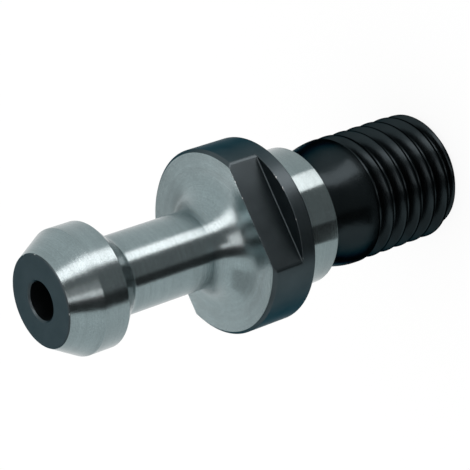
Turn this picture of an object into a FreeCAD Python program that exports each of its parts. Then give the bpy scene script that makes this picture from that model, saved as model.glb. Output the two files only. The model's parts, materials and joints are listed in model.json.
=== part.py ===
"""Pull stud (retention knob) for a 40-taper tool holder, turned from one steel bar.

Millimetres. The stud stands on its threaded end with its head up. Z is the turning axis and the
origin is the centre of the seat, the rear face of the flange that bears on the tool holder.
"""
import FreeCAD, Part
import math
import os

# Grip head: front face, front taper, land and the 45 degree gripping cone behind it.
HEAD_DIAMETER = 15.0
HEAD_FACE_DIAMETER = 11.0
HEAD_TAPER_LENGTH = 3.55
HEAD_LAND_LENGTH = 3.2
GRIP_CONE_ANGLE = 45.0
HEAD_FACE_CHAMFER = 0.25
TIP_HEIGHT = 31.0

# Neck, and the fillets that join it to the head and to the flange.
NECK_DIAMETER = 9.5
NECK_HEAD_FILLET = 1.2
NECK_FLANGE_FILLET = 3.5

# Flange with two spanner flats that stop short of its rear face.
FLANGE_DIAMETER = 22.6
FLANGE_THICKNESS = 6.4
FLANGE_FRONT_CHAMFER = 0.35
FLANGE_REAR_CHAMFER = 0.3
ACROSS_FLATS = 18.0
SEAT_RING_HEIGHT = 2.15

# Pilot that centres the stud in the tool holder.
PILOT_DIAMETER = 17.0
PILOT_LENGTH = 6.1
PILOT_CHAMFER = 0.25

# Relief between the pilot and the thread: a short groove, then a cone that rises to the crest.
RELIEF_DIAMETER = 13.9
RELIEF_GROOVE_LENGTH = 1.55
RELIEF_LENGTH = 5.5

# Thread, 5/8-11 UNC, right-handed.
THREAD_DIAMETER = 15.875
THREADS_PER_INCH = 11
THREAD_END_DEPTH = 27.0
THREAD_END_CHAMFER = 1.2
THREAD_RUN_OUT_TURNS = 0.8
THREAD_RUN_OUT_DEPTH = 12.2
THREAD_RUN_OUT_BEARING = -181.0
THREAD_CUT_OVERLAP_TURNS = 0.02

# Coolant bore, right through.
BORE_DIAMETER = 4.6
BORE_CHAMFER = 0.2

# Values that follow from the sizes above.
INCH = 25.4
PITCH = INCH / THREADS_PER_INCH
THREAD_ANGLE = 60.0
THREAD_CREST_FLAT = PITCH / 8
THREAD_ROOT_FLAT = PITCH / 8
FLANK_RUN = math.tan(math.radians(THREAD_ANGLE / 2))
THREAD_HEIGHT = (PITCH - THREAD_CREST_FLAT - THREAD_ROOT_FLAT) / 2 / FLANK_RUN
CUTTER_OVERSHOOT = 0.1


def rounded_corner(before, corner, after, radius):
    """Tangent points and middle point of an arc that rounds one corner of an outline."""
    to_before = (before - corner).normalize()
    to_after = (after - corner).normalize()
    half_angle = to_before.getAngle(to_after) / 2
    reach = radius / math.tan(half_angle)
    middle_line = (to_before + to_after).normalize()
    centre = corner + middle_line * (radius / math.sin(half_angle))
    return corner + to_before * reach, centre - middle_line * radius, corner + to_after * reach


def outline_face(corners):
    """Closed half-section in the XZ plane from (radius, height, corner radius) rows."""
    points = [FreeCAD.Vector(r, 0, z) for r, z, rounding in corners]
    edges = []
    starts = []
    ends = []
    for index, (r, z, rounding) in enumerate(corners):
        corner = points[index]
        if rounding > 0:
            after = points[(index + 1) % len(points)]
            start, middle, end = rounded_corner(points[index - 1], corner, after, rounding)
            # A spline arc: its revolved surface needs far fewer facets than a torus.
            edges.append(Part.Arc(start, middle, end).toBSpline().toShape())
        else:
            start = corner
            end = corner
        starts.append(start)
        ends.append(end)
    for index, end in enumerate(ends):
        edges.append(Part.LineSegment(end, starts[(index + 1) % len(starts)]).toShape())
    return Part.Face(Part.Wire(Part.__sortEdges__(edges)))


def blank():
    """The stud as it leaves the lathe, before the flats and the thread are cut."""
    tip = TIP_HEIGHT
    bore = BORE_DIAMETER / 2
    face = HEAD_FACE_DIAMETER / 2
    head = HEAD_DIAMETER / 2
    neck = NECK_DIAMETER / 2
    flange = FLANGE_DIAMETER / 2
    pilot = PILOT_DIAMETER / 2
    relief = RELIEF_DIAMETER / 2
    thread = THREAD_DIAMETER / 2
    land_top = tip - HEAD_TAPER_LENGTH
    land_bottom = land_top - HEAD_LAND_LENGTH
    cone_bottom = land_bottom - (head - neck) / math.tan(math.radians(GRIP_CONE_ANGLE))
    corners = [
        (bore, tip - BORE_CHAMFER, 0),
        (bore + BORE_CHAMFER, tip, 0),
        (face - HEAD_FACE_CHAMFER, tip, 0),
        (face + HEAD_FACE_CHAMFER * (head - face) / HEAD_TAPER_LENGTH, tip - HEAD_FACE_CHAMFER, 0),
        (head, land_top, 0),
        (head, land_bottom, 0),
        (neck, cone_bottom, NECK_HEAD_FILLET),
        (neck, FLANGE_THICKNESS, NECK_FLANGE_FILLET),
        (flange - FLANGE_FRONT_CHAMFER, FLANGE_THICKNESS, 0),
        (flange, FLANGE_THICKNESS - FLANGE_FRONT_CHAMFER, 0),
        (flange, FLANGE_REAR_CHAMFER, 0),
        (flange - FLANGE_REAR_CHAMFER, 0, 0),
        (pilot, 0, 0),
        (pilot, PILOT_CHAMFER - PILOT_LENGTH, 0),
        (pilot - PILOT_CHAMFER, -PILOT_LENGTH, 0),
        (relief, -PILOT_LENGTH, 0),
        (relief, -PILOT_LENGTH - RELIEF_GROOVE_LENGTH, 0),
        (thread, -PILOT_LENGTH - RELIEF_LENGTH, 0),
        (thread, THREAD_END_CHAMFER - THREAD_END_DEPTH, 0),
        (thread - THREAD_END_CHAMFER, -THREAD_END_DEPTH, 0),
        (bore + BORE_CHAMFER, -THREAD_END_DEPTH, 0),
        (bore, BORE_CHAMFER - THREAD_END_DEPTH, 0),
    ]
    section = outline_face(corners)
    return section.revolve(FreeCAD.Vector(0, 0, 0), FreeCAD.Vector(0, 0, 1), 360)


def spanner_flats():
    """The metal that the mill takes off for the two flats, front and back."""
    length = FLANGE_DIAMETER
    depth = (FLANGE_DIAMETER - ACROSS_FLATS) / 2 + 1
    height = FLANGE_THICKNESS - SEAT_RING_HEIGHT + 1
    cuts = []
    for side in (-1, 1):
        near_edge = side * ACROSS_FLATS / 2
        corner = FreeCAD.Vector(-length / 2, min(near_edge, near_edge + side * depth), SEAT_RING_HEIGHT)
        cuts.append(Part.makeBox(length, depth, height, corner))
    return cuts


def groove_cutter(turns, rise):
    """Thread form swept up a helix from the XZ plane; rise is how far its root climbs outwards."""
    root = THREAD_DIAMETER / 2 - THREAD_HEIGHT
    outer = THREAD_DIAMETER / 2 + CUTTER_OVERSHOOT
    half_root = THREAD_ROOT_FLAT / 2
    half_outer = half_root + (THREAD_HEIGHT + CUTTER_OVERSHOOT) * FLANK_RUN
    corners = [(root, -half_root), (outer, -half_outer), (outer, half_outer), (root, half_root)]
    points = [FreeCAD.Vector(r, 0, z) for r, z in corners]
    height = turns * PITCH
    slant = math.hypot(height, rise)
    helix = Part.makeHelix(slant / turns, slant, root, math.degrees(math.atan(rise / height)))
    sweep = Part.BRepOffsetAPI.MakePipeShell(Part.Wire(helix.Edges))
    sweep.setFrenetMode(True)
    sweep.add(Part.makePolygon(points + points[:1]))
    sweep.build()
    sweep.makeSolid()
    cutter = sweep.shape()
    if cutter.Volume < 0:
        cutter.reverse()
    return cutter


def placed(cutter, bearing, height):
    """A cutter turned to its bearing about the axis and set at its height."""
    rotation = FreeCAD.Rotation(FreeCAD.Vector(0, 0, 1), bearing)
    cutter.Placement = FreeCAD.Placement(FreeCAD.Vector(0, 0, height), rotation)
    return cutter


def thread_cutters():
    """The full thread from below the end of the stud, and its run-out towards the pilot."""
    run_out_start = -THREAD_RUN_OUT_DEPTH - THREAD_RUN_OUT_TURNS * PITCH
    bearing = THREAD_RUN_OUT_BEARING - THREAD_RUN_OUT_TURNS * 360
    full_turns = math.ceil((THREAD_END_DEPTH + run_out_start) / PITCH + 1)
    full = groove_cutter(full_turns + THREAD_CUT_OVERLAP_TURNS, 0)
    run_out = groove_cutter(THREAD_RUN_OUT_TURNS, THREAD_HEIGHT + CUTTER_OVERSHOOT)
    return [
        placed(full, bearing, run_out_start - full_turns * PITCH),
        placed(run_out, bearing, run_out_start),
    ]


def pull_stud():
    """The finished stud: one solid."""
    stud = blank()
    for cutter in spanner_flats() + thread_cutters():
        stud = stud.cut(cutter)
    return stud.Solids[0]


os.makedirs("parts", exist_ok=True)
pull_stud().exportStep("parts/pull_stud.step")
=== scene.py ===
"""Looks of the pull stud: one turned, milled and threaded piece in four finishes, on a stage.

The piece is built in the part's own frame, in metres: Z is the turning axis, the origin is the
centre of the seat behind the flange, and the stud stands on its threaded end.
"""

import json
import math

import bmesh
import bpy
from mathutils import Matrix, Vector


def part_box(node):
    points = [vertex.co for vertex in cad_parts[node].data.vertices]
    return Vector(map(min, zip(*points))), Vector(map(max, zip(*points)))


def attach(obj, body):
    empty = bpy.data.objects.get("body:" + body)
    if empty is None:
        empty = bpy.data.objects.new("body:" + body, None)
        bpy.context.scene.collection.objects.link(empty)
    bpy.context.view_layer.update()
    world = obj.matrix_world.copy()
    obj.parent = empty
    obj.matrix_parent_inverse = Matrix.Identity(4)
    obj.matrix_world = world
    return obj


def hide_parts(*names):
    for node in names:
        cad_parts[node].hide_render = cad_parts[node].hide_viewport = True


bl_info = {
    "name": "Pull Stud",
    "version": (1, 0, 0),
    "blender": (4, 5, 0),
    "location": "3D View > Sidebar > Pull Stud",
    "description": "Builds a pull stud with its thread, its finishes and a studio stage",
    "category": "Object",
}

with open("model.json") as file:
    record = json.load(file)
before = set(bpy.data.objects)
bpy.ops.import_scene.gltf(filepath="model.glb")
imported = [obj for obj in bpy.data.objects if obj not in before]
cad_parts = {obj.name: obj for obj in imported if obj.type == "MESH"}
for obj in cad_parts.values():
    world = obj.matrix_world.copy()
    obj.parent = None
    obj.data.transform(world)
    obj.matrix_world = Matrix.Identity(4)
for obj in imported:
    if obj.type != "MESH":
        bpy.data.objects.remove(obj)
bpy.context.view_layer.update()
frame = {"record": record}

NODE = "pull_stud"
BODY = "root"
MM = 0.001

# Shape: where the threaded surface starts above the shoulder, how many of the columns lie on the
# flats, and how close points are before they are welded.
THREAD_START_RISE = 2.1 * MM
FLAT_COLUMNS = 0.62
THREAD_WELD = 0.000001
PIECE_WELD = 0.0000015
SHORTEST_EDGE = 0.0000005

# Rows across half a groove: share of the rows where each stretch starts and ends, and its width.
ROW_STRETCHES = ((0.0, 4 / 12, 0.30), (4 / 12, 7 / 12, 0.42), (7 / 12, 1.0, 0.28))
# The run-out lifts the groove a little past the crests, so that it fades out fully.
FADE_REACH = 1.05

# Finishes: tints of grazing reflections, where the wear noise starts and is widest, and widths.
OXIDE_GRAZING = (0.30, 0.38, 0.42, 1.0)
OILED_GRAZING = (0.22, 0.30, 0.33, 1.0)
WEAR_START, WEAR_FULL = 0.52, 0.80
FLAT_WEAR = 0.16 * MM
RING_WEAR = 0.14 * MM
RING_WEAR_AMOUNT = 0.45
FACE_WEAR = 0.18 * MM
TURNED_MARK = 0.012 * MM
GROUND_MARK = 0.006 * MM
GROUND_GLOSS = 0.06

# Floor: its glow, and the share of that glow that the camera and the reflections get.
FLOOR_GLOW = 1.03
FLOOR_SEEN = 0.88
FLOOR_MIRRORED = 0.6
FLOOR_SIZE = 6.0
LOW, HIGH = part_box(NODE)
MOUNTS = {mount["name"]: mount for mount in frame["record"]["mounts"]}


def mount_radius(name):
    """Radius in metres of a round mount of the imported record."""
    return MOUNTS[name]["dims"]["r_mm"] * MM


# ---------------------------------------------------------------- properties


def length(name, description, default):
    """A length property in metres."""
    return bpy.props.FloatProperty(
        name=name, description=description, default=default, unit="LENGTH", precision=6
    )


def colour(name, description, default):
    """A linear colour property."""
    return bpy.props.FloatVectorProperty(
        name=name, description=description, default=default, subtype="COLOR", size=3, min=0, max=1
    )


def share(name, description, default):
    """A number from 0 to 1."""
    return bpy.props.FloatProperty(
        name=name, description=description, default=default, min=0, max=1, subtype="FACTOR"
    )


class StudSizes(bpy.types.PropertyGroup):
    """Sizes of the turned and milled body."""

    tip: length("Tip height", "Height of the head's front face above the seat", HIGH.z)
    head_radius: length("Head radius", "Radius of the land of the head", mount_radius("head"))
    face_radius: length("Front face radius", "Radius of the head's front face", 5.5 * MM)
    taper_length: length("Front taper length", "Length of the taper behind the front face", 3.55 * MM)
    land_length: length("Land length", "Length of the head's cylindrical land", 3.2 * MM)
    neck_radius: length("Neck radius", "Radius of the neck", 4.75 * MM)
    head_fillet: length("Head fillet", "Fillet between the neck and the gripping cone", 1.2 * MM)
    flange_fillet: length("Flange fillet", "Fillet between the neck and the flange", 3.5 * MM)
    flange_radius: length("Flange radius", "Radius of the flange", HIGH.x)
    flange_thickness: length("Flange thickness", "Thickness of the flange", 6.4 * MM)
    front_chamfer: length("Front chamfer", "Chamfer of the flange's front edge", 0.35 * MM)
    rear_chamfer: length("Rear chamfer", "Chamfer of the flange's rear edge", 0.3 * MM)
    flat_distance: length(
        "Flat distance", "Distance of each flat from the axis", MOUNTS["flat_back"]["pos_m"][1]
    )
    ring_height: length("Seat ring height", "Height where the flats end", 2.15 * MM)
    pilot_radius: length("Pilot radius", "Radius of the pilot", mount_radius("pilot"))
    pilot_length: length("Pilot length", "Length of the pilot", 6.1 * MM)
    pilot_chamfer: length("Pilot chamfer", "Chamfer of the pilot's end", 0.25 * MM)
    relief_radius: length("Relief radius", "Smallest radius of the relief", 6.95 * MM)
    relief_groove: length("Relief groove", "Length of the relief's straight groove", 1.55 * MM)
    relief_length: length("Relief length", "Length of the relief, groove and cone", 5.5 * MM)
    relief_waist: length("Relief waist", "Fillet between the groove and the cone", 6.0 * MM)
    relief_corner: length("Relief corner", "Fillet between the pilot and the relief", 0.5 * MM)
    bore_radius: length("Bore radius", "Radius of the coolant bore", mount_radius("coolant_bore"))
    bore_chamfer: length("Bore chamfer", "Chamfer at the ends of the bore", 0.2 * MM)
    edge_break: length("Edge break", "Rounding of the edges that are left sharp", 0.05 * MM)
    steps_around: bpy.props.IntProperty(
        name="Steps around", description="Facets around the axis", default=288, min=48, max=400
    )


class ThreadSizes(bpy.types.PropertyGroup):
    """Sizes of the thread and of its run-out."""

    major_radius: length("Major radius", "Radius of the crests", 15.875 / 2 * MM)
    pitch: length("Pitch", "Distance from crest to crest", 25.4 / 11 * MM)
    end_height: length("End height", "Height of the threaded end", LOW.z)
    end_chamfer: length("End chamfer", "Chamfer of the threaded end", 1.2 * MM)
    run_out_height: length("Run-out height", "Height where the groove ends", -12.2 * MM)
    run_out_turns: bpy.props.FloatProperty(
        name="Run-out turns", description="Turns over which the groove fades", default=0.8, min=0.1
    )
    run_out_bearing: bpy.props.FloatProperty(
        name="Run-out bearing",
        description="Bearing where the groove ends",
        default=math.radians(-181),
        subtype="ANGLE",
    )
    crest_rounding: length("Crest rounding", "Radius of the rounded crests", 0.34 * MM)
    root_rounding: length("Root rounding", "Radius of the rounded roots", 0.36 * MM)
    edge_softness: length("Edge softness", "Softness where the groove meets the blank", 0.25 * MM)
    shoulder_rounding: length("Shoulder rounding", "Softness of the relief's shoulder", 0.5 * MM)
    rows_per_side: bpy.props.IntProperty(
        name="Rows per side", description="Rows of facets on each side of the groove", default=12
    )


class StudFinishes(bpy.types.PropertyGroup):
    """Colours and gloss of the finishes."""

    steel: colour("Steel", "Bare turned steel", (0.218, 0.278, 0.288))
    ground_steel: colour("Ground steel", "Bare ground steel", (0.200, 0.255, 0.262))
    bare_edge: colour("Bare edge", "Steel that shows where the black is worn off", (0.42, 0.46, 0.46))
    oxide: colour("Black oxide", "Satin black oxide", (0.050, 0.066, 0.072))
    oiled: colour("Oiled black", "Oiled black thread", (0.0185, 0.0255, 0.0280))
    steel_roughness: share("Steel roughness", "Roughness of the turned steel", 0.21)
    steel_grain: share("Steel grain", "How far the tool marks stretch reflections", 0.7)
    oxide_roughness: share("Oxide roughness", "Roughness of the black oxide", 0.36)
    oiled_roughness: share("Oiled roughness", "Roughness of the oiled thread", 0.24)


class StageSettings(bpy.types.PropertyGroup):
    """Camera, floor and lights."""

    aim_height: length("Aim height", "Height on the axis that the camera looks at", 2.94 * MM)
    distance: length("Camera distance", "Distance from the aim point to the camera", 0.26143)
    bearing: bpy.props.FloatProperty(
        name="Camera bearing", default=math.radians(-97.96), subtype="ANGLE",
        description="Direction from the axis to the camera",
    )
    elevation: bpy.props.FloatProperty(
        name="Camera elevation", default=math.radians(35.57), subtype="ANGLE",
        description="Angle of the camera above the seat plane",
    )
    roll: bpy.props.FloatProperty(
        name="Camera roll", default=math.radians(-108.87), subtype="ANGLE",
        description="Turn of the camera about its own line of sight",
    )
    lens: bpy.props.FloatProperty(
        name="Lens", description="Focal length in millimetres", default=169.07, min=1
    )
    surround: bpy.props.FloatProperty(
        name="Surround", description="Strength of the white surround", default=1.0, min=0
    )


# Cards round the stud, which show only in reflections and are placed for the camera's bearing:
# name, bearings and climbs in degrees, strength and tint.
WARM = (1.0, 0.875, 0.86)
PLAIN = (1.0, 1.0, 1.0)
CARDS = (
    ("Strip light", (-84.3, -71.5), (-50, 160), 4.0, WARM),
    ("Dark card", (-123.5, -110), (-50, 150), 0.05, PLAIN),
    ("Dim card", (-110, -84.3), (-50, 150), 0.26, PLAIN),
    ("Narrow light", (-109.5, -105), (2, 150), 2.2, WARM),
    ("Block light", (-105, -96), (35, 110), 1.9, WARM),
    ("Left card", (-170, -140), (30, 175), 0.60, PLAIN),
)
CARD_REACH = 0.6
CARD_COLUMNS = 8
CARD_CLIMB_STEP = 4
CARD_CENTRE = 8 * MM
CARD_FLOOR_GAP = 0.05 * MM
# Painted shade: a dark disc round the stud's foot, seen only in reflections, stands in for the floor in
# the stud's shadow.
SHADE_PAD_FLOOR_GAP = 0.1 * MM
SHADE_PAD_RADIUS = 0.029
SHADE_PAD_STRENGTH = 0.06


# ---------------------------------------------------------------- node helpers


def feed(tree, socket, value):
    """Links a socket into another, or sets its value."""
    if isinstance(value, bpy.types.NodeSocket):
        tree.links.new(value, socket)
    else:
        socket.default_value = value


def calc(tree, operation, *values, clamp=False):
    """The result of one Math node on numbers or sockets."""
    node = tree.nodes.new("ShaderNodeMath")
    node.operation = operation
    node.use_clamp = clamp
    for socket, value in zip(node.inputs, values):
        feed(tree, socket, value)
    return node.outputs[0]


def ramp(tree, value, low, high, start=0.0, end=1.0, smooth=False):
    """Value mapped from low..high to start..end, held at both ends."""
    node = tree.nodes.new("ShaderNodeMapRange")
    node.clamp = True
    node.interpolation_type = "SMOOTHSTEP" if smooth else "LINEAR"
    for socket, number in zip(node.inputs, (value, low, high, start, end)):
        feed(tree, socket, number)
    return node.outputs[0]


def joined(tree, x, y, z):
    """A vector from three numbers or sockets."""
    node = tree.nodes.new("ShaderNodeCombineXYZ")
    for socket, value in zip(node.inputs, (x, y, z)):
        feed(tree, socket, value)
    return node.outputs[0]


# ---------------------------------------------------------------- the turned and milled body


def rounded_outline(corners, arc_steps, hold):
    """Points of an outline of (radius, height, rounding) rows; hold keeps shading off flat runs."""
    points = []
    last = len(corners) - 1
    for index, (radius, height, rounding) in enumerate(corners):
        corner = Vector((radius, height))
        if index in (0, last):
            points.append(corner)
            continue
        before = Vector(corners[index - 1][:2]) - corner
        after = Vector(corners[index + 1][:2]) - corner
        to_before, to_after = before.normalized(), after.normalized()
        half = to_before.angle(to_after) / 2
        if rounding > 0:
            reach = rounding / math.tan(half)
            middle = (to_before + to_after).normalized()
            centre = corner + middle * (rounding / math.sin(half))
            start = corner + to_before * reach
            sweep = math.pi - 2 * half
            turn = 1 if to_before.x * to_after.y - to_before.y * to_after.x < 0 else -1
            spoke = start - centre
            arc = []
            for step in range(arc_steps + 1):
                angle = turn * sweep * step / arc_steps
                arc.append(centre + Matrix.Rotation(angle, 2) @ spoke)
        else:
            reach = 0
            arc = [corner]
        if before.length > 4 * (reach + hold):
            points.append(corner + to_before * (reach + hold))
        points.extend(arc)
        if after.length > 4 * (reach + hold):
            points.append(corner + to_after * (reach + hold))
    return points


def corner_angle(radius, flat):
    """Angle from the X axis at which a circle meets the flat."""
    return math.asin(min(1.0, flat / radius))


def section_ring(steps, height, radius, flat=None, corner=None, floor_radius=None):
    """One ring of the body; flat cuts both sides, corner keeps a column on the flats' corners."""
    quarter = steps // 4
    if corner is None and flat is not None:
        corner = corner_angle(radius, flat)
    ring = []
    for step in range(steps):
        side, column = divmod(step, quarter)
        column = column if side % 2 == 0 else quarter - column
        angle = math.pi / 2 * column / quarter
        if corner is not None:
            main = round(quarter * FLAT_COLUMNS)
            if column <= main:
                angle = corner * column / main
            else:
                angle = corner + (math.pi / 2 - corner) * (column - main) / (quarter - main)
        reach = radius
        if flat is not None and math.sin(angle) > 0:
            reach = min(radius, flat / math.sin(angle))
            if floor_radius is not None:
                reach = max(reach, floor_radius)
        x = reach * math.cos(angle) * (1 if side in (0, 3) else -1)
        y = reach * math.sin(angle) * (1 if side in (0, 1) else -1)
        ring.append(Vector((x, y, height)))
    return ring


def front_corners(s):
    """Outline from the threaded end's bore edge, up the bore and down to the flange face."""
    tip = s.tip
    bore = s.bore_radius
    cut = s.bore_chamfer
    brk = s.edge_break
    land_top = tip - s.taper_length
    land_bottom = land_top - s.land_length
    cone_bottom = land_bottom - (s.head_radius - s.neck_radius)
    return [
        (bore + cut, LOW.z, 0),
        (bore, LOW.z + cut, brk),
        (bore, tip - cut, brk),
        (bore + cut, tip, brk),
        (s.face_radius, tip, 5 * brk),
        (s.head_radius, land_top, 6 * brk),
        (s.head_radius, land_bottom, 4 * brk),
        (s.neck_radius, cone_bottom, s.head_fillet),
        (s.neck_radius, s.flange_thickness, s.flange_fillet),
        (s.neck_radius + s.flange_fillet + 6 * brk, s.flange_thickness, 0),
    ]


def flange_rings(s):
    """Rings of the flange, from its front face over the flats, the step and the rear chamfer."""
    brk = s.edge_break
    top = s.flange_thickness
    outer = s.flange_radius
    flat = s.flat_distance
    chamfer = s.front_chamfer
    ring = s.ring_height
    steps = s.steps_around
    full = corner_angle(outer, flat)
    front = outer - chamfer
    rows = [
        section_ring(steps, top, front - 3 * brk, flat - 3 * brk),
        section_ring(steps, top, front - brk / 2, flat - brk),
        section_ring(steps, top - brk * 0.3, front + brk * 0.1, flat - brk * 0.3),
        section_ring(steps, top - brk, front + brk, flat),
        section_ring(steps, top - 3 * brk, front + 3 * brk, flat),
        section_ring(steps, top - chamfer + brk / 2, outer - brk / 2, flat),
        section_ring(steps, top - chamfer, outer - brk * 0.1, flat),
        section_ring(steps, top - chamfer - brk, outer, flat),
        section_ring(steps, top - chamfer - 3 * brk, outer, flat),
        section_ring(steps, ring + 3 * brk, outer, flat),
        section_ring(steps, ring, outer, flat),
        section_ring(steps, ring, outer, flat + 3 * brk, corner=full),
        section_ring(steps, ring, outer, flat + 3 * brk, corner=full, floor_radius=outer - 3 * brk),
        section_ring(steps, ring, outer, flat, floor_radius=outer - brk),
        section_ring(steps, ring - brk * 0.3, outer, flat, floor_radius=outer - brk * 0.3),
        section_ring(steps, ring - brk, outer, corner=full),
        section_ring(steps, ring - 3 * brk, outer, corner=full),
    ]
    rear = [
        (outer, ring - 3 * brk, 0),
        (outer, s.rear_chamfer, brk),
        (outer - s.rear_chamfer, 0, brk),
        (s.pilot_radius, 0, 0),
    ]
    for radius, height in rounded_outline(rear, 3, 2 * brk)[1:-1]:
        rows.append(section_ring(steps, height, radius, corner=full))
    return rows


def rear_corners(s, thread):
    """Outline from the seat over the pilot and down the relief's cone to the thread's top."""
    shoulder = -s.pilot_length - s.relief_length
    waist = -s.pilot_length - s.relief_groove
    top = thread_top(s)
    brk = s.edge_break
    return [
        (s.pilot_radius + 3 * brk, 0, 0),
        (s.pilot_radius, 0, brk),
        (s.pilot_radius, s.pilot_chamfer - s.pilot_length, brk),
        (s.pilot_radius - s.pilot_chamfer, -s.pilot_length, brk),
        (s.relief_radius, -s.pilot_length, s.relief_corner),
        (s.relief_radius, waist, s.relief_waist),
        (thread.major_radius - relief_slope(s, thread) * (top - shoulder), top, 0),
    ]


def relief_slope(s, thread):
    """How much the relief's cone widens for each metre of height."""
    return (thread.major_radius - s.relief_radius) / (s.relief_length - s.relief_groove)


def thread_top(s):
    """Height on the relief's cone where the threaded surface begins."""
    return -s.pilot_length - s.relief_length + THREAD_START_RISE


def body_rings(s, thread):
    """All rings of the body, from the bore's lower edge to the top of the threaded surface."""
    steps = s.steps_around
    hold = 2 * s.edge_break
    rings = []
    for radius, height in rounded_outline(front_corners(s), 8, hold):
        rings.append(section_ring(steps, height, radius))
    rings.extend(flange_rings(s))
    for radius, height in rounded_outline(rear_corners(s, thread), 5, hold):
        rings.append(section_ring(steps, height, radius))
    return rings


def add_rings(mesh, rings):
    """Skins the rings with quads in a bmesh."""
    rows = [[mesh.verts.new(point) for point in ring] for ring in rings]
    for low, high in zip(rows, rows[1:]):
        count = len(low)
        for step in range(count):
            after = (step + 1) % count
            mesh.faces.new((low[step], low[after], high[after], high[step]))


# ---------------------------------------------------------------- the threaded surface


THREAD_INPUTS = (
    ("Steps Around", "NodeSocketInt"),
    ("Rows Per Turn", "NodeSocketInt"),
    ("Turns", "NodeSocketInt"),
    ("Major Radius", "NodeSocketFloat"),
    ("Pitch", "NodeSocketFloat"),
    ("Start Height", "NodeSocketFloat"),
    ("End Height", "NodeSocketFloat"),
    ("End Chamfer", "NodeSocketFloat"),
    ("Bore Edge Radius", "NodeSocketFloat"),
    ("Top Height", "NodeSocketFloat"),
    ("Shoulder Height", "NodeSocketFloat"),
    ("Relief Slope", "NodeSocketFloat"),
    ("Fade Start", "NodeSocketFloat"),
    ("Fade Length", "NodeSocketFloat"),
    ("Crest Rounding", "NodeSocketFloat"),
    ("Root Rounding", "NodeSocketFloat"),
    ("Edge Softness", "NodeSocketFloat"),
    ("Shoulder Rounding", "NodeSocketFloat"),
    ("Material", "NodeSocketMaterial"),
)


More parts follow.
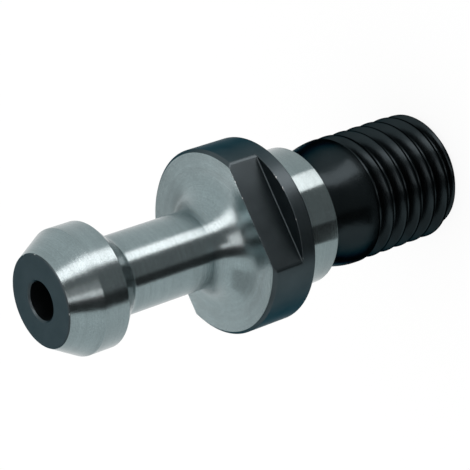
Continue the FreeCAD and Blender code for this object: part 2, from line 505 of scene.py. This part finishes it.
def thread_tree():
    """Node tree of the threaded surface: a grid wound into a helix and pulled to the thread form."""
    tree = bpy.data.node_groups.new("Threaded surface", "GeometryNodeTree")
    tree.is_modifier = True
    tree.interface.new_socket("Geometry", in_out="OUTPUT", socket_type="NodeSocketGeometry")
    for name, kind in THREAD_INPUTS:
        tree.interface.new_socket(name, in_out="INPUT", socket_type=kind)
    given = {s.name: s for s in tree.nodes.new("NodeGroupInput").outputs if s.name}

    def math_node(operation, *values):
        return calc(tree, operation, *values)

    columns = math_node("ADD", given["Steps Around"], 1.0)
    row_span = math_node("MULTIPLY", given["Rows Per Turn"], given["Turns"])
    grid = tree.nodes.new("GeometryNodeMeshGrid")
    feed(tree, grid.inputs["Size X"], 1.0)
    feed(tree, grid.inputs["Size Y"], 1.0)
    feed(tree, grid.inputs["Vertices X"], columns)
    feed(tree, grid.inputs["Vertices Y"], math_node("ADD", row_span, 1.0))
    place = tree.nodes.new("ShaderNodeSeparateXYZ")
    tree.links.new(tree.nodes.new("GeometryNodeInputPosition").outputs[0], place.inputs[0])

    # Column gives the bearing, row gives the turn and the place across the groove.
    step = math_node("ROUND", math_node("MULTIPLY", math_node("ADD", place.outputs[0], 0.5),
                                        given["Steps Around"]))
    turn_share = math_node("DIVIDE", step, given["Steps Around"])
    row = math_node("ROUND", math_node("MULTIPLY", math_node("ADD", place.outputs[1], 0.5), row_span))
    turns = math_node("DIVIDE", row, given["Rows Per Turn"])
    groove = math_node("ROUND", turns)
    across = math_node("SUBTRACT", turns, groove)
    side = math_node("SIGN", across)
    half = math_node("MULTIPLY", math_node("ABSOLUTE", across), 2.0)

    # Thread form: 60 degree flanks between rounded crests and roots.
    pitch = given["Pitch"]
    half_pitch = math_node("DIVIDE", pitch, 2.0)
    flank = 1 / math.tan(math.radians(30))
    rounding = math_node("ADD", given["Crest Rounding"], given["Root Rounding"])
    full_depth = math_node("SUBTRACT", math_node("MULTIPLY", half_pitch, flank), rounding)

    def groove_centre(number):
        travelled = math_node("ADD", number, turn_share)
        return math_node("ADD", given["Start Height"], math_node("MULTIPLY", travelled, pitch))

    def groove_lift(centre):
        faded = math_node("DIVIDE", math_node("SUBTRACT", centre, given["Fade Start"]),
                          given["Fade Length"])
        lifted = math_node("MULTIPLY", math_node("MAXIMUM", faded, 0.0), FADE_REACH)
        return math_node("MULTIPLY", full_depth, lifted)

    def arc_drop(radius_name, distance):
        """Drop from the top of a crest or root arc, and on down the flank beyond it."""
        radius = given[radius_name]
        reach = math_node("MULTIPLY", radius, math.sin(math.radians(60)))
        on_arc = math_node("MINIMUM", distance, reach)
        level = math_node("SQRT", math_node("SUBTRACT", math_node("MULTIPLY", radius, radius),
                                            math_node("MULTIPLY", on_arc, on_arc)))
        beyond = math_node("MAXIMUM", math_node("SUBTRACT", distance, reach), 0.0)
        drop = math_node("SUBTRACT", radius, level)
        return math_node("ADD", drop, math_node("MULTIPLY", beyond, flank))

    centre = groove_centre(groove)
    spacing = 0.0
    for first_row, last_row, width in ROW_STRETCHES:
        stretch = ramp(tree, half, first_row, last_row, 0.0, width)
        spacing = math_node("ADD", spacing, stretch)
    offset = math_node("MULTIPLY", spacing, half_pitch)
    height = math_node("ADD", centre, math_node("MULTIPLY", side, offset))
    height = math_node("MINIMUM", math_node("MAXIMUM", height, given["End Height"]),
                       given["Top Height"])

    # Radius of the blank: relief cone, crest cylinder and end chamfer.
    above = math_node("SUBTRACT", height, given["Shoulder Height"])
    cone = math_node("SUBTRACT", given["Major Radius"],
                     math_node("MULTIPLY", above, given["Relief Slope"]))
    blank = math_node("SMOOTH_MIN", cone, given["Major Radius"], given["Shoulder Rounding"])
    end_edge = math_node("SUBTRACT", given["Major Radius"], given["End Chamfer"])
    chamfer = math_node("ADD", end_edge, math_node("SUBTRACT", height, given["End Height"]))
    blank = math_node("SMOOTH_MIN", blank, chamfer, given["Edge Softness"])

    # Radius of the nearest groove at this height, on its root side or its crest side.
    bare = math_node("SUBTRACT", math_node("SUBTRACT", height, given["Start Height"]),
                     math_node("MULTIPLY", turn_share, pitch))
    nearest = groove_centre(math_node("ROUND", math_node("DIVIDE", bare, pitch)))
    away = math_node("ABSOLUTE", math_node("SUBTRACT", height, nearest))
    root = math_node("SUBTRACT", given["Major Radius"], full_depth)
    from_root = math_node("ADD", root, arc_drop("Root Rounding", away))
    from_crest = math_node("SUBTRACT", given["Major Radius"],
                           arc_drop("Crest Rounding", math_node("SUBTRACT", half_pitch, away)))
    nearer_crest = math_node("GREATER_THAN", away, math_node("DIVIDE", half_pitch, 2.0))
    form = math_node("ADD", math_node("MULTIPLY", from_crest, nearer_crest),
                     math_node("MULTIPLY", from_root, math_node("SUBTRACT", 1.0, nearer_crest)))
    form = math_node("ADD", form, groove_lift(nearest))
    softness = given["Edge Softness"]
    lifted_blank = math_node("ADD", blank, math_node("DIVIDE", softness, 6.0))
    radius = math_node("SMOOTH_MIN", lifted_blank, form, softness)
    radius = math_node("MINIMUM", radius, blank)
    first = math_node("LESS_THAN", row, 0.5)
    radius = math_node("ADD", math_node("MULTIPLY", radius, math_node("SUBTRACT", 1.0, first)),
                       math_node("MULTIPLY", given["Bore Edge Radius"], first))

    angle = math_node("MULTIPLY", turn_share, math.tau)
    position = joined(tree, math_node("MULTIPLY", radius, math_node("COSINE", angle)),
                      math_node("MULTIPLY", radius, math_node("SINE", angle)), height)
    shaped = tree.nodes.new("GeometryNodeSetPosition")
    tree.links.new(grid.outputs["Mesh"], shaped.inputs["Geometry"])
    tree.links.new(position, shaped.inputs["Position"])
    welded = tree.nodes.new("GeometryNodeMergeByDistance")
    tree.links.new(shaped.outputs[0], welded.inputs["Geometry"])
    feed(tree, welded.inputs["Distance"], THREAD_WELD)
    realized = tree.nodes.new("GeometryNodeRealizeInstances")
    tree.links.new(welded.outputs[0], realized.inputs[0])
    finished = tree.nodes.new("GeometryNodeSetMaterial")
    tree.links.new(realized.outputs[0], finished.inputs["Geometry"])
    tree.links.new(given["Material"], finished.inputs["Material"])
    output = tree.nodes.new("NodeGroupOutput")
    tree.links.new(finished.outputs[0], output.inputs[0])
    return tree


def thread_values(s, thread):
    """The thread tree's inputs, from the sizes of the stud."""
    fade_length = thread.run_out_turns * thread.pitch
    fade_start = thread.run_out_height - fade_length
    bearing = thread.run_out_bearing / math.tau - thread.run_out_turns
    at_zero = fade_start - bearing * thread.pitch
    below = math.ceil((at_zero - thread.end_height) / thread.pitch) + 1
    start = at_zero - below * thread.pitch
    top = thread_top(s)
    return {
        "Steps Around": s.steps_around,
        "Rows Per Turn": 2 * thread.rows_per_side,
        "Turns": math.ceil((top - start) / thread.pitch),
        "Major Radius": thread.major_radius,
        "Pitch": thread.pitch,
        "Start Height": start,
        "End Height": thread.end_height,
        "End Chamfer": thread.end_chamfer,
        "Bore Edge Radius": s.bore_radius + s.bore_chamfer,
        "Top Height": top,
        "Shoulder Height": -s.pilot_length - s.relief_length,
        "Relief Slope": relief_slope(s, thread),
        "Fade Start": fade_start,
        "Fade Length": fade_length,
        "Crest Rounding": thread.crest_rounding,
        "Root Rounding": thread.root_rounding,
        "Edge Softness": thread.edge_softness,
        "Shoulder Rounding": thread.shoulder_rounding,
    }


def made_by_nodes(name, tree, values):
    """Plain mesh that a node tree makes with these inputs."""
    holder = bpy.data.objects.new(name, bpy.data.meshes.new(name))
    bpy.context.scene.collection.objects.link(holder)
    modifier = holder.modifiers.new(name, "NODES")
    modifier.node_group = tree
    for item in tree.interface.items_tree:
        if item.in_out == "INPUT" and item.name in values:
            modifier[item.identifier] = values[item.name]
    bpy.context.view_layer.update()
    evaluated = holder.evaluated_get(bpy.context.evaluated_depsgraph_get())
    mesh = bpy.data.meshes.new_from_object(evaluated)
    holder.modifiers.remove(modifier)
    bpy.data.objects.remove(holder)
    return mesh


# ---------------------------------------------------------------- finishes


TURNED, GROUND, OXIDE, OILED = range(4)


def face_finish(centre, s):
    """Which finish the face at this place has."""
    radius = math.hypot(centre.x, centre.y)
    height = centre.z
    if radius < s.bore_radius + 2 * s.bore_chamfer and height > LOW.z + s.edge_break:
        return OXIDE
    if height > s.tip - s.edge_break * 2.5 and radius < s.face_radius + s.edge_break:
        return OXIDE
    if height > s.flange_thickness - s.edge_break * 0.1:
        return TURNED
    if height > s.edge_break * 0.2:
        return OXIDE
    if height > -s.pilot_length - s.edge_break * 0.5 and radius > s.relief_radius + s.relief_corner:
        return GROUND
    return OILED


class Finish:
    """Node helpers of one material, with the coordinates that all finishes share."""

    def __init__(self, name):
        self.material = bpy.data.materials.new(name)
        self.material.use_nodes = True
        self.tree = self.material.node_tree
        self.shader = self.tree.nodes["Principled BSDF"]
        place = self.tree.nodes.new("ShaderNodeTexCoord").outputs["Object"]
        split = self.tree.nodes.new("ShaderNodeSeparateXYZ")
        self.tree.links.new(place, split.inputs[0])
        self.place = place
        self.x, self.y, self.z = split.outputs
        self.radius = self.calc("SQRT", self.calc(
            "ADD", self.calc("MULTIPLY", self.x, self.x), self.calc("MULTIPLY", self.y, self.y)))

    def calc(self, operation, *values, clamp=False):
        return calc(self.tree, operation, *values, clamp=clamp)

    def ramp(self, value, low, high, start=0.0, end=1.0, smooth=True):
        return ramp(self.tree, value, low, high, start, end, smooth)

    def noise(self, vector, scale, detail=2.0, roughness=0.5):
        node = self.tree.nodes.new("ShaderNodeTexNoise")
        self.tree.links.new(vector, node.inputs["Vector"])
        node.inputs["Scale"].default_value = scale
        node.inputs["Detail"].default_value = detail
        node.inputs["Roughness"].default_value = roughness
        return node.outputs[0]

    def rings(self, drift=0.02):
        """Coordinates that run along the section, so that noise on them makes turned rings."""
        across = self.calc("ADD", self.radius, self.calc("MULTIPLY", self.x, drift))
        return joined(self.tree, across, self.z, self.calc("MULTIPLY", self.y, drift))

    def mixed(self, factor, one, two):
        """Colour between two colours or sockets."""
        node = self.tree.nodes.new("ShaderNodeMix")
        node.data_type = "RGBA"
        feed(self.tree, node.inputs["Factor"], factor)
        for socket, value in ((node.inputs[6], one), (node.inputs[7], two)):
            if not isinstance(value, bpy.types.NodeSocket):
                value = (*value, 1.0)
            feed(self.tree, socket, value)
        return node.outputs[2]

    def between(self, factor, one, two):
        """Number between two numbers."""
        return self.ramp(factor, 0.0, 1.0, one, two, smooth=False)

    def bump(self, height, distance, strength=1.0, under=None):
        node = self.tree.nodes.new("ShaderNodeBump")
        node.inputs["Strength"].default_value = strength
        node.inputs["Distance"].default_value = distance
        self.tree.links.new(height, node.inputs["Height"])
        if under is not None:
            self.tree.links.new(under, node.inputs["Normal"])
        return node.outputs[0]

    def turned_grain(self, amount):
        """Stretches reflections across the tool marks, which run around the axis."""
        around = self.tree.nodes.new("ShaderNodeVectorMath")
        around.operation = "CROSS_PRODUCT"
        around.inputs[0].default_value = (0, 0, 1)
        self.tree.links.new(self.place, around.inputs[1])
        self.tree.links.new(around.outputs[0], self.shader.inputs["Tangent"])
        self.shader.inputs["Anisotropic"].default_value = amount
        self.shader.inputs["Anisotropic Rotation"].default_value = 0.25

    def feed(self, name, value):
        feed(self.tree, self.shader.inputs[name], value)


def bare_steel(name, tint, roughness, grain, mark):
    """Bare steel with fine marks around the axis."""
    finish = Finish(name)
    rings = finish.rings()
    fine = finish.noise(rings, 9000.0, 3.0, 0.6)
    broad = finish.noise(rings, 900.0, 2.0)
    speck = finish.noise(finish.place, 5200.0, 2.0, 0.7)
    cloud = finish.noise(finish.place, 420.0, 3.0)
    tone = finish.calc("ADD", finish.between(fine, -0.16, 0.16), finish.between(broad, -0.10, 0.10))
    tone = finish.calc("ADD", tone, finish.between(cloud, -0.12, 0.12))
    tone = finish.calc("ADD", tone, finish.between(speck, -0.22, 0.22))
    dark = tuple(channel * 0.5 for channel in tint)
    light = tuple(min(1.0, channel * 1.5) for channel in tint)
    finish.feed("Base Color", finish.mixed(finish.calc("ADD", tone, 0.5), dark, light))
    finish.shader.inputs["Metallic"].default_value = 1.0
    finish.feed("Roughness", finish.between(cloud, roughness - 0.04, roughness + 0.04))
    chatter = finish.noise(finish.place, 2400.0, 2.0, 0.6)
    finish.feed("Normal", finish.bump(fine, mark, under=finish.bump(chatter, mark / 4)))
    finish.turned_grain(grain)
    return finish.material


def worn_edge(finish, across, along, patches, width):
    """Wear on the edge where two distances are both nought, in patches of changing width."""
    away = finish.calc("ADD", finish.calc("ABSOLUTE", across), finish.calc("ABSOLUTE", along))
    reach = finish.calc("MULTIPLY", finish.ramp(patches, WEAR_START, WEAR_FULL), width)
    return finish.calc("LESS_THAN", away, reach)


def black_oxide(s, f):
    """Satin black oxide with bright wear along its edges."""
    finish = Finish("Black oxide")
    away_from_flat = finish.calc("SUBTRACT", finish.calc("ABSOLUTE", finish.y), s.flat_distance)
    below_face = finish.calc("SUBTRACT", finish.z, s.flange_thickness)
    nick = finish.noise(finish.place, 1500.0, 3.0, 0.7)
    front_edge = worn_edge(finish, away_from_flat, below_face, nick, FLAT_WEAR)
    from_rim = finish.calc("SUBTRACT", finish.radius, s.flange_radius)
    from_ring = finish.calc("SUBTRACT", finish.z, s.ring_height)
    over_flat = finish.ramp(away_from_flat, -0.0001, 0.0001)
    dots = finish.noise(finish.place, 2200.0, 2.0, 0.7)
    ring_edge = worn_edge(finish, from_rim, from_ring, dots, RING_WEAR)
    ring_edge = finish.calc("MULTIPLY", finish.calc("MULTIPLY", ring_edge, over_flat), RING_WEAR_AMOUNT)
    chips = finish.noise(finish.place, 1700.0, 2.0, 0.7)
    face_edge = worn_edge(finish, finish.calc("SUBTRACT", finish.radius, s.face_radius),
                          finish.calc("SUBTRACT", finish.z, s.tip), chips, FACE_WEAR)
    wear = finish.calc("MAXIMUM", finish.calc("MAXIMUM", front_edge, ring_edge), face_edge)
    cloud = finish.noise(finish.place, 420.0, 3.0)
    tone = finish.mixed(cloud, tuple(c * 0.8 for c in f.oxide), tuple(c * 1.2 for c in f.oxide))
    finish.feed("Base Color", finish.mixed(wear, tone, f.bare_edge))
    finish.shader.inputs["Metallic"].default_value = 1.0
    finish.shader.inputs["Specular Tint"].default_value = OXIDE_GRAZING
    grain = finish.noise(finish.place, 6000.0, 2.0)
    finish.feed("Roughness", finish.between(cloud, f.oxide_roughness - 0.05, f.oxide_roughness + 0.05))
    finish.feed("Normal", finish.bump(grain, 0.000006))
    return finish.material


def oiled_black(f):
    """Black oxide under oil, smooth and glossy."""
    finish = Finish("Oiled black")
    cloud = finish.noise(finish.place, 300.0, 3.0)
    finish.feed("Base Color", finish.mixed(cloud, tuple(c * 0.7 for c in f.oiled),
                                           tuple(c * 1.3 for c in f.oiled)))
    finish.shader.inputs["Metallic"].default_value = 1.0
    finish.shader.inputs["Specular Tint"].default_value = OILED_GRAZING
    finish.feed("Roughness", finish.between(cloud, f.oiled_roughness - 0.06, f.oiled_roughness + 0.08))
    ripple = finish.noise(finish.place, 900.0, 2.0)
    finish.feed("Normal", finish.bump(ripple, 0.00002))
    return finish.material


# ---------------------------------------------------------------- stage


def arch_direction(view, turning, climb):
    """Direction that a tool mark at this bearing reflects the eye to, at this climb round it."""
    outward = Vector((math.cos(turning), math.sin(turning), 0))
    around = Vector((-math.sin(turning), math.cos(turning), 0))
    along = -view.dot(around)
    rest = math.sqrt(1 - along * along)
    return around * along + outward * (rest * math.cos(climb)) + Vector((0, 0, rest * math.sin(climb)))


def arch_card(name, view, bearings, climbs, strength, tint, reach):
    """A glowing or dark card bent over the stud, seen only in reflections.

    Bearings and climbs are in degrees: the card covers the reflections of the tool marks between
    two bearings round the axis, from one climb to the other, and lies on the floor below level.
    """
    mesh = bmesh.new()
    rows = []
    start = Vector((0, 0, CARD_CENTRE))
    floor = LOW.z + CARD_FLOOR_GAP
    across = CARD_COLUMNS
    along = max(2, round((climbs[1] - climbs[0]) / CARD_CLIMB_STEP))
    for row in range(along + 1):
        share_up = row / along
        climb = math.radians(climbs[0] + (climbs[1] - climbs[0]) * share_up)
        points = []
        for column in range(across + 1):
            bearing = bearings[0] + (bearings[1] - bearings[0]) * column / across
            out = arch_direction(view, math.radians(bearing), climb)
            far = reach
            if out.z < 0:
                far = min(reach, (start.z - floor) / -out.z)
            points.append(mesh.verts.new(start + out * far))
        rows.append(points)
    for low, high in zip(rows, rows[1:]):
        for column in range(across):
            mesh.faces.new((low[column], low[column + 1], high[column + 1], high[column]))
    return reflected_card(name, mesh, tint, strength)


def painted_shade_pad(radius):
    """Painted shade: a dark round disc at the stud's foot, seen only in reflections, which stands in for
    the floor shaded by the stud.
    """
    mesh = bmesh.new()
    place = Matrix.Translation((0, 0, LOW.z + SHADE_PAD_FLOOR_GAP))
    bmesh.ops.create_circle(mesh, cap_ends=True, segments=96, radius=radius, matrix=place)
    return reflected_card("Dark pad", mesh, PLAIN, SHADE_PAD_STRENGTH)


def reflected_card(name, mesh, tint, strength):
    """A card of the stage from a bmesh: metal reflects it, and nothing else shows it."""
    data = bpy.data.meshes.new(name)
    mesh.to_mesh(data)
    mesh.free()
    data.materials.append(glow(name, tint, strength))
    card = bpy.data.objects.new(name, data)
    bpy.context.scene.collection.objects.link(card)
    card.visible_camera = False
    card.visible_diffuse = False
    card.visible_shadow = False
    return card


def glow(name, tint, strength):
    """Plain emission."""
    material = bpy.data.materials.new(name)
    material.use_nodes = True
    tree = material.node_tree
    tree.nodes.clear()
    light = tree.nodes.new("ShaderNodeEmission")
    light.inputs["Color"].default_value = (*tint, 1.0)
    light.inputs["Strength"].default_value = strength
    output = tree.nodes.new("ShaderNodeOutputMaterial")
    tree.links.new(light.outputs[0], output.inputs["Surface"])
    return material


def floor_material():
    """White floor: it keeps a soft shadow, and is plain white to the eye and in reflections."""
    material = bpy.data.materials.new("White floor")
    material.use_nodes = True
    tree = material.node_tree
    shader = tree.nodes["Principled BSDF"]
    shader.inputs["Base Color"].default_value = (0.85, 0.85, 0.85, 1.0)
    shader.inputs["Roughness"].default_value = 0.9
    shader.inputs["Specular IOR Level"].default_value = 0.0
    light = tree.nodes.new("ShaderNodeEmission")
    light.inputs["Strength"].default_value = FLOOR_GLOW
    path = tree.nodes.new("ShaderNodeLightPath")
    seen = calc(tree, "MULTIPLY", path.outputs["Is Camera Ray"], FLOOR_SEEN)
    mirrored = calc(tree, "MULTIPLY", path.outputs["Is Glossy Ray"], FLOOR_MIRRORED)
    mixer = tree.nodes.new("ShaderNodeMixShader")
    tree.links.new(calc(tree, "MAXIMUM", seen, mirrored), mixer.inputs[0])
    tree.links.new(shader.outputs[0], mixer.inputs[1])
    tree.links.new(light.outputs[0], mixer.inputs[2])
    tree.links.new(mixer.outputs[0], tree.nodes["Material Output"].inputs["Surface"])
    return material


def lit_world(strength):
    """White surround."""
    world = bpy.data.worlds.new("White surround")
    world.use_nodes = True
    tree = world.node_tree
    back = tree.nodes["Background"]
    back.inputs["Color"].default_value = (1, 1, 1, 1)
    back.inputs["Strength"].default_value = strength
    bpy.context.scene.world = world


def eye_direction(stage):
    """Direction from the aim point to the camera."""
    return Vector((math.cos(stage.elevation) * math.cos(stage.bearing),
                   math.cos(stage.elevation) * math.sin(stage.bearing),
                   math.sin(stage.elevation)))


def add_camera(stage):
    """Camera aimed at the stud from the side of its front flat."""
    out = eye_direction(stage)
    aim = Vector((0, 0, stage.aim_height))
    level = (-out).cross(Vector((0, 0, 1))).normalized()
    upright = level.cross(-out)
    right = level * math.cos(stage.roll) + upright * math.sin(stage.roll)
    up = upright * math.cos(stage.roll) - level * math.sin(stage.roll)
    data = bpy.data.cameras.new("Camera")
    data.lens = stage.lens
    data.sensor_width = 36.0
    data.clip_start = 0.01
    camera = bpy.data.objects.new("Camera", data)
    turn = Matrix((right, up, out)).transposed().to_4x4()
    camera.matrix_world = Matrix.Translation(aim + out * stage.distance) @ turn
    bpy.context.scene.collection.objects.link(camera)
    bpy.context.scene.camera = camera


# ---------------------------------------------------------------- operators


class PULLSTUD_OT_body(bpy.types.Operator):
    """Turn and mill the body of the stud, with its thread, as one closed piece"""

    bl_idname = "pull_stud.body"
    bl_label = "Pull stud"

    def execute(self, context):
        scene = context.scene
        sizes, thread, looks = scene.stud_sizes, scene.stud_thread, scene.stud_finishes
        finishes = [
            bare_steel("Turned steel", looks.steel, looks.steel_roughness, looks.steel_grain, TURNED_MARK),
            bare_steel("Ground steel", looks.ground_steel, looks.steel_roughness - GROUND_GLOSS,
                       looks.steel_grain, GROUND_MARK),
            black_oxide(sizes, looks),
            oiled_black(looks),
        ]
        values = thread_values(sizes, thread)
        values["Material"] = finishes[OILED]
        threaded = made_by_nodes("Threaded surface", thread_tree(), values)
        mesh = bmesh.new()
        mesh.from_mesh(threaded)
        bpy.data.meshes.remove(threaded)
        add_rings(mesh, body_rings(sizes, thread))
        bmesh.ops.remove_doubles(mesh, verts=mesh.verts, dist=PIECE_WELD)
        bmesh.ops.dissolve_degenerate(mesh, edges=mesh.edges, dist=SHORTEST_EDGE)
        bmesh.ops.recalc_face_normals(mesh, faces=mesh.faces)
        for face in mesh.faces:
            face.material_index = face_finish(face.calc_center_median(), sizes)
            face.smooth = True
        open_edges = [edge for edge in mesh.edges if len(edge.link_faces) != 2]
        if open_edges:
            raise RuntimeError(f"the stud has {len(open_edges)} open edges")
        data = bpy.data.meshes.new("finished_stud")
        for finish in finishes:
            data.materials.append(finish)
        mesh.to_mesh(data)
        mesh.free()
        piece = bpy.data.objects.new("finished_stud", data)
        scene.collection.objects.link(piece)
        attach(piece, BODY)
        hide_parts(NODE)
        return {"FINISHED"}


class PULLSTUD_OT_stage(bpy.types.Operator):
    """Set the white floor, the surround, the reflected cards and the camera"""

    bl_idname = "pull_stud.stage"
    bl_label = "Stage"

    def execute(self, context):
        stage = context.scene.stud_stage
        bpy.ops.mesh.primitive_plane_add(size=FLOOR_SIZE, location=(0, 0, LOW.z))
        floor = context.object
        floor.name = "Floor"
        floor.data.materials.append(floor_material())
        lit_world(stage.surround)
        view = eye_direction(stage)
        for order, (name, bearings, climbs, strength, tint) in enumerate(CARDS):
            arch_card(name, view, bearings, climbs, strength, tint, CARD_REACH - order * MM)
        # Painted shade in reflections: a dark disc for the shaded floor round the stud's foot.
        painted_shade_pad(SHADE_PAD_RADIUS)
        add_camera(stage)
        context.scene.view_settings.view_transform = "Standard"
        return {"FINISHED"}


class PULLSTUD_PT_panel(bpy.types.Panel):
    """Sizes, finishes and stage of the pull stud"""

    bl_label = "Pull Stud"
    bl_idname = "PULLSTUD_PT_panel"
    bl_space_type = "VIEW_3D"
    bl_region_type = "UI"
    bl_category = "Pull Stud"

    def draw(self, context):
        scene = context.scene
        for group in (scene.stud_sizes, scene.stud_thread, scene.stud_finishes, scene.stud_stage):
            box = self.layout.box()
            for name in group.bl_rna.properties.keys():
                if name not in ("rna_type", "name"):
                    box.prop(group, name)
        self.layout.operator(PULLSTUD_OT_body.bl_idname)
        self.layout.operator(PULLSTUD_OT_stage.bl_idname)


CLASSES = (StudSizes, ThreadSizes, StudFinishes, StageSettings,
           PULLSTUD_OT_body, PULLSTUD_OT_stage, PULLSTUD_PT_panel)
GROUPS = (("stud_sizes", StudSizes), ("stud_thread", ThreadSizes),
          ("stud_finishes", StudFinishes), ("stud_stage", StageSettings))


def register():
    """Adds the classes, and one group of settings of each kind to the scene."""
    for cls in CLASSES:
        bpy.utils.register_class(cls)
    for name, group in GROUPS:
        setattr(bpy.types.Scene, name, bpy.props.PointerProperty(type=group))


def unregister():
    """Takes away what register added."""
    for name, _group in GROUPS:
        delattr(bpy.types.Scene, name)
    for cls in reversed(CLASSES):
        bpy.utils.unregister_class(cls)


def main():
    """Builds the piece and the stage."""
    register()
    bpy.ops.pull_stud.body()
    bpy.ops.pull_stud.stage()
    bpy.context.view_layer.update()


if __name__ == "__main__":
    main()
